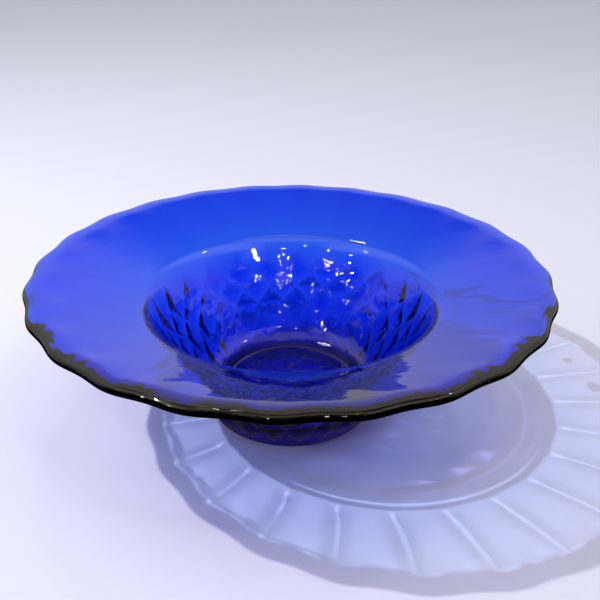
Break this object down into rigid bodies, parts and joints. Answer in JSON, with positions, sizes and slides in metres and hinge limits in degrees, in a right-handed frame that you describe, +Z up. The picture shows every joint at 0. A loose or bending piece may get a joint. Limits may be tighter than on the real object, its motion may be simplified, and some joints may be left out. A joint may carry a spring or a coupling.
{
  "type": "footed console bowl",
  "caption": "Pressed-glass console bowl in clear cobalt blue: wide brim with a rounded, scalloped edge, deep well with a raised diamond lattice outside, and a ring foot.",
  "frame": {"origin": "middle of the foot ring, on the surface that the bowl stands on", "axes": "+Z up along the bowl's axis; a scallop of the rim points along +X"},
  "size_m": [0.3118, 0.3118, 0.096],
  "materials": {
    "cobalt_glass": "fire-polished, transparent"
  },
  "bodies": {
    "root": {"foot_ring": "cobalt_glass", "well_floor": "cobalt_glass", "well_wall": "cobalt_glass", "shoulder": "cobalt_glass", "brim": "cobalt_glass", "scalloped_edge": "cobalt_glass"}
  },
  "joints": []
}
